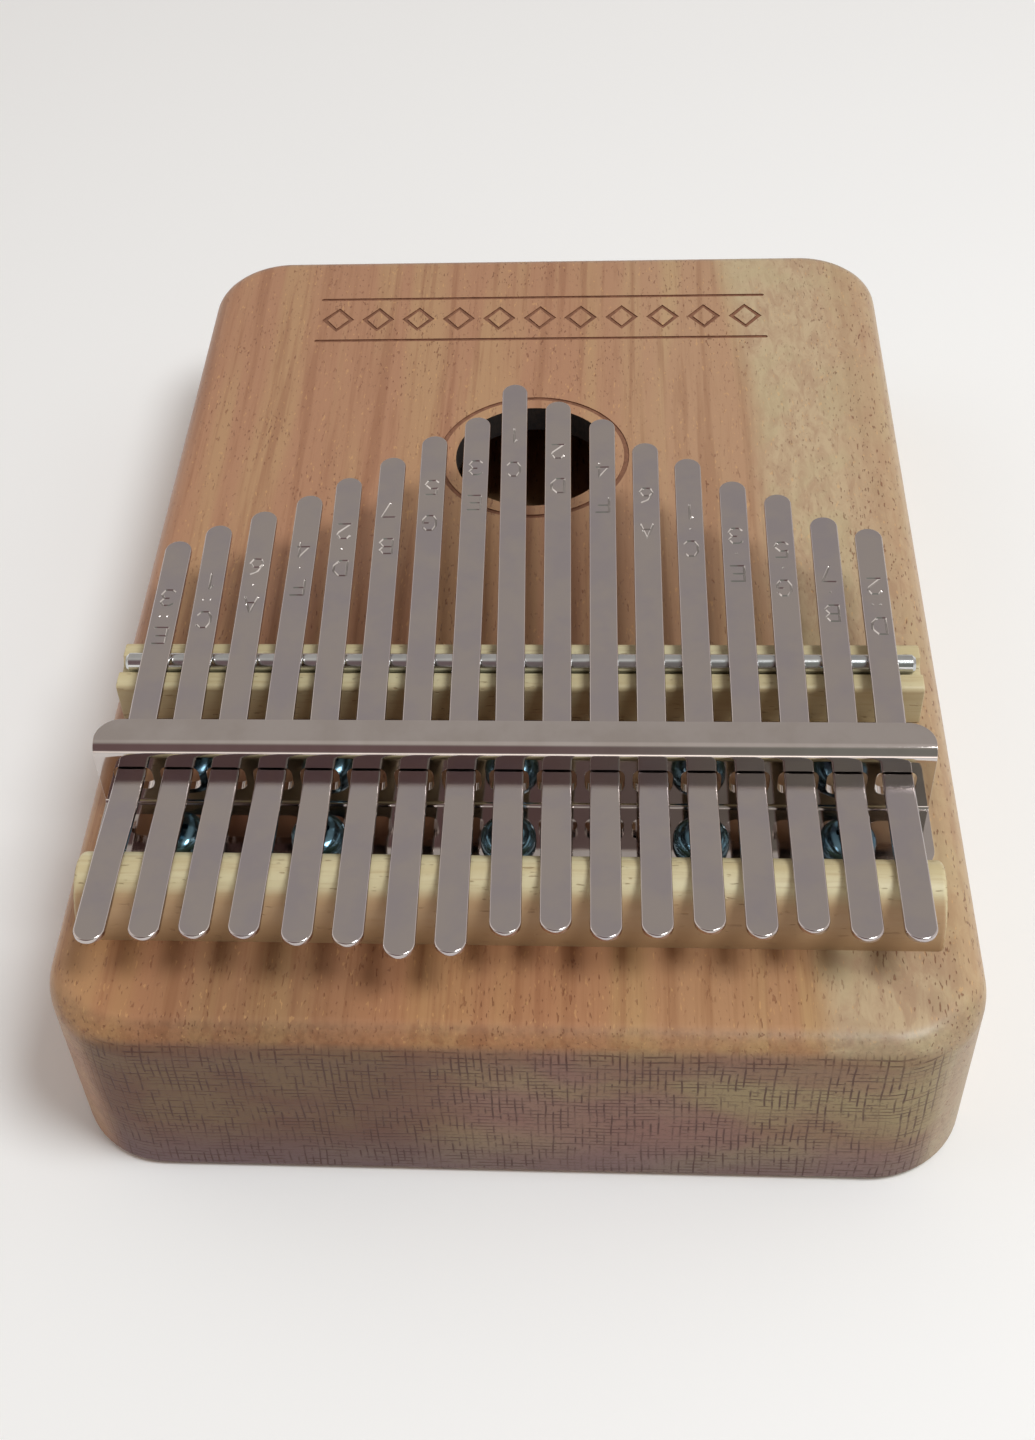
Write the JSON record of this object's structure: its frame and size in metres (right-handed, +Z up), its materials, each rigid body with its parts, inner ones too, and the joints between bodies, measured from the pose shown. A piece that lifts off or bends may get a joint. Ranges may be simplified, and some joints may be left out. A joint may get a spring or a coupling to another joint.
{
  "type": "mbira",
  "caption": "Board lamellophone: hollow wood block with a round sound hole, steel keys held in a slotted plate over a rod bridge.",
  "frame": {"origin": "middle of the underside of the wood block", "axes": "+X right, +Y from the key tails toward the free ends of the keys, +Z up out of the deck"},
  "size_m": [0.132, 0.192, 0.0472],
  "materials": {
    "block_wood": "semi-gloss varnished mahogany, open end grain on the short sides",
    "panel_wood": "thin varnished ply",
    "pale_wood": "bare pale hardwood, sanded",
    "rod_steel": "bright drawn steel",
    "plate_chrome": "mirror plated",
    "screw_zinc": "blue zinc plated",
    "key_steel": "nickel-plated spring steel, satin"
  },
  "bodies": {
    "instrument": {"body_shell": "block_wood", "back_panel": "panel_wood", "bridge_base": "pale_wood", "saddle_rod": "rod_steel", "pressure_plate": "plate_chrome", "backrest": "pale_wood", "screw_1": "screw_zinc", "screw_2": "screw_zinc", "screw_3": "screw_zinc", "screw_4": "screw_zinc", "screw_5": "screw_zinc"},
    "key_01_held": {"key_01_tail": "key_steel"},
    "key_01_free": {"key_01_tongue": "key_steel"},
    "key_02_held": {"key_02_tail": "key_steel"},
    "key_02_free": {"key_02_tongue": "key_steel"},
    "key_03_held": {"key_03_tail": "key_steel"},
    "key_03_free": {"key_03_tongue": "key_steel"},
    "key_04_held": {"key_04_tail": "key_steel"},
    "key_04_free": {"key_04_tongue": "key_steel"},
    "key_05_held": {"key_05_tail": "key_steel"},
    "key_05_free": {"key_05_tongue": "key_steel"},
    "key_06_held": {"key_06_tail": "key_steel"},
    "key_06_free": {"key_06_tongue": "key_steel"},
    "key_07_held": {"key_07_tail": "key_steel"},
    "key_07_free": {"key_07_tongue": "key_steel"},
    "key_08_held": {"key_08_tail": "key_steel"},
    "key_08_free": {"key_08_tongue": "key_steel"},
    "key_09_held": {"key_09_tail": "key_steel"},
    "key_09_free": {"key_09_tongue": "key_steel"},
    "key_10_held": {"key_10_tail": "key_steel"},
    "key_10_free": {"key_10_tongue": "key_steel"},
    "key_11_held": {"key_11_tail": "key_steel"},
    "key_11_free": {"key_11_tongue": "key_steel"},
    "key_12_held": {"key_12_tail": "key_steel"},
    "key_12_free": {"key_12_tongue": "key_steel"},
    "key_13_held": {"key_13_tail": "key_steel"},
    "key_13_free": {"key_13_tongue": "key_steel"},
    "key_14_held": {"key_14_tail": "key_steel"},
    "key_14_free": {"key_14_tongue": "key_steel"},
    "key_15_held": {"key_15_tail": "key_steel"},
    "key_15_free": {"key_15_tongue": "key_steel"},
    "key_16_held": {"key_16_tail": "key_steel"},
    "key_16_free": {"key_16_tongue": "key_steel"},
    "key_17_held": {"key_17_tail": "key_steel"},
    "key_17_free": {"key_17_tongue": "key_steel"}
  },
  "joints": [
    {"name": "key_01_tuning_slide", "type": "slide", "parent": "instrument", "child": "key_01_held", "axis": [0, 1, 0], "range_m": [-0.003, 0.003]},
    {"name": "key_01_pluck", "type": "hinge", "parent": "key_01_held", "child": "key_01_free", "pos_m": [-0.0568, -0.031, 0.0426], "axis": [1, 0, 0], "range_deg": [-0.45, 0.45], "stiffness_Nm_per_rad": 9.091},
    {"name": "key_02_tuning_slide", "type": "slide", "parent": "instrument", "child": "key_02_held", "axis": [-0.0157, 0.9999, 0], "range_m": [-0.003, 0.003]},
    {"name": "key_02_pluck", "type": "hinge", "parent": "key_02_held", "child": "key_02_free", "pos_m": [-0.05016, -0.031, 0.0426], "axis": [0.9999, 0.0157, 0], "range_deg": [-0.6, 0.6], "stiffness_Nm_per_rad": 7.885},
    {"name": "key_03_tuning_slide", "type": "slide", "parent": "instrument", "child": "key_03_held", "axis": [-0.0122, 0.9999, 0], "range_m": [-0.003, 0.003]},
    {"name": "key_03_pluck", "type": "hinge", "parent": "key_03_held", "child": "key_03_free", "pos_m": [-0.04308, -0.031, 0.0426], "axis": [0.9999, 0.0122, 0], "range_deg": [-0.75, 0.75], "stiffness_Nm_per_rad": 7.051},
    {"name": "key_04_tuning_slide", "type": "slide", "parent": "instrument", "child": "key_04_held", "axis": [-0.007, 1, 0], "range_m": [-0.003, 0.003]},
    {"name": "key_04_pluck", "type": "hinge", "parent": "key_04_held", "child": "key_04_free", "pos_m": [-0.03596, -0.031, 0.0426], "axis": [1, 0.007, 0], "range_deg": [-0.94, 0.94], "stiffness_Nm_per_rad": 6.286},
    {"name": "key_05_tuning_slide", "type": "slide", "parent": "instrument", "child": "key_05_held", "axis": [-0.0192, 0.9998, 0], "range_m": [-0.003, 0.003]},
    {"name": "key_05_pluck", "type": "hinge", "parent": "key_05_held", "child": "key_05_free", "pos_m": [-0.02924, -0.031, 0.0426], "axis": [0.9998, 0.0192, 0], "range_deg": [-1.18, 1.18], "stiffness_Nm_per_rad": 5.598},
    {"name": "key_06_tuning_slide", "type": "slide", "parent": "instrument", "child": "key_06_held", "axis": [-0.0175, 0.9998, 0], "range_m": [-0.003, 0.003]},
    {"name": "key_06_pluck", "type": "hinge", "parent": "key_06_held", "child": "key_06_free", "pos_m": [-0.0222, -0.031, 0.0426], "axis": [0.9998, 0.0175, 0], "range_deg": [-1.5, 1.5], "stiffness_Nm_per_rad": 4.966},
    {"name": "key_07_tuning_slide", "type": "slide", "parent": "instrument", "child": "key_07_held", "axis": [-0.0192, 0.9998, 0], "range_m": [-0.003, 0.003]},
    {"name": "key_07_pluck", "type": "hinge", "parent": "key_07_held", "child": "key_07_free", "pos_m": [-0.01524, -0.031, 0.0426], "axis": [0.9998, 0.0192, 0], "range_deg": [-1.89, 1.89], "stiffness_Nm_per_rad": 4.427},
    {"name": "key_08_tuning_slide", "type": "slide", "parent": "instrument", "child": "key_08_held", "axis": [-0.0157, 0.9999, 0], "range_m": [-0.003, 0.003]},
    {"name": "key_08_pluck", "type": "hinge", "parent": "key_08_held", "child": "key_08_free", "pos_m": [-0.00816, -0.031, 0.0426], "axis": [0.9999, 0.0157, 0], "range_deg": [-2.27, 2.27], "stiffness_Nm_per_rad": 4.037},
    {"name": "key_09_tuning_slide", "type": "slide", "parent": "instrument", "child": "key_09_held", "axis": [-0.0244, 0.9997, 0], "range_m": [-0.003, 0.003]},
    {"name": "key_09_pluck", "type": "hinge", "parent": "key_09_held", "child": "key_09_free", "pos_m": [-0.00136, -0.031, 0.0426], "axis": [0.9997, 0.0244, 0], "range_deg": [-3, 3], "stiffness_Nm_per_rad": 3.514},
    {"name": "key_10_tuning_slide", "type": "slide", "parent": "instrument", "child": "key_10_held", "axis": [-0.0175, 0.9998, 0], "range_m": [-0.003, 0.003]},
    {"name": "key_10_pluck", "type": "hinge", "parent": "key_10_held", "child": "key_10_free", "pos_m": [0.0058, -0.031, 0.0426], "axis": [0.9998, 0.0175, 0], "range_deg": [-2.62, 2.62], "stiffness_Nm_per_rad": 3.761},
    {"name": "key_11_tuning_slide", "type": "slide", "parent": "instrument", "child": "key_11_held", "axis": [-0.0105, 0.9999, 0], "range_m": [-0.003, 0.003]},
    {"name": "key_11_pluck", "type": "hinge", "parent": "key_11_held", "child": "key_11_free", "pos_m": [0.01296, -0.031, 0.0426], "axis": [0.9999, 0.0105, 0], "range_deg": [-2.22, 2.22], "stiffness_Nm_per_rad": 4.089},
    {"name": "key_12_tuning_slide", "type": "slide", "parent": "instrument", "child": "key_12_held", "axis": [-0.007, 1, 0], "range_m": [-0.003, 0.003]},
    {"name": "key_12_pluck", "type": "hinge", "parent": "key_12_held", "child": "key_12_free", "pos_m": [0.02004, -0.031, 0.0426], "axis": [1, 0.007, 0], "range_deg": [-1.73, 1.73], "stiffness_Nm_per_rad": 4.622},
    {"name": "key_13_tuning_slide", "type": "slide", "parent": "instrument", "child": "key_13_held", "axis": [-0.007, 1, 0], "range_m": [-0.003, 0.003]},
    {"name": "key_13_pluck", "type": "hinge", "parent": "key_13_held", "child": "key_13_free", "pos_m": [0.02704, -0.031, 0.0426], "axis": [1, 0.007, 0], "range_deg": [-1.46, 1.46], "stiffness_Nm_per_rad": 5.046},
    {"name": "key_14_tuning_slide", "type": "slide", "parent": "instrument", "child": "key_14_held", "axis": [-0.0035, 1, 0], "range_m": [-0.003, 0.003]},
    {"name": "key_14_pluck", "type": "hinge", "parent": "key_14_held", "child": "key_14_free", "pos_m": [0.03412, -0.031, 0.0426], "axis": [1, 0.0035, 0], "range_deg": [-1.11, 1.11], "stiffness_Nm_per_rad": 5.789},
    {"name": "key_15_tuning_slide", "type": "slide", "parent": "instrument", "child": "key_15_held", "axis": [0, 1, 0], "range_m": [-0.003, 0.003]},
    {"name": "key_15_pluck", "type": "hinge", "parent": "key_15_held", "child": "key_15_free", "pos_m": [0.0412, -0.031, 0.0426], "axis": [1, 0, 0], "range_deg": [-0.93, 0.93], "stiffness_Nm_per_rad": 6.322},
    {"name": "key_16_tuning_slide", "type": "slide", "parent": "instrument", "child": "key_16_held", "axis": [0.0017, 1, 0], "range_m": [-0.003, 0.003]},
    {"name": "key_16_pluck", "type": "hinge", "parent": "key_16_held", "child": "key_16_free", "pos_m": [0.04824, -0.031, 0.0426], "axis": [1, -0.0017, 0], "range_deg": [-0.66, 0.66], "stiffness_Nm_per_rad": 7.483},
    {"name": "key_17_tuning_slide", "type": "slide", "parent": "instrument", "child": "key_17_held", "axis": [0, 1, 0], "range_m": [-0.003, 0.003]},
    {"name": "key_17_pluck", "type": "hinge", "parent": "key_17_held", "child": "key_17_free", "pos_m": [0.0552, -0.031, 0.0426], "axis": [1, 0, 0], "range_deg": [-0.55, 0.55], "stiffness_Nm_per_rad": 8.24}
  ]
}
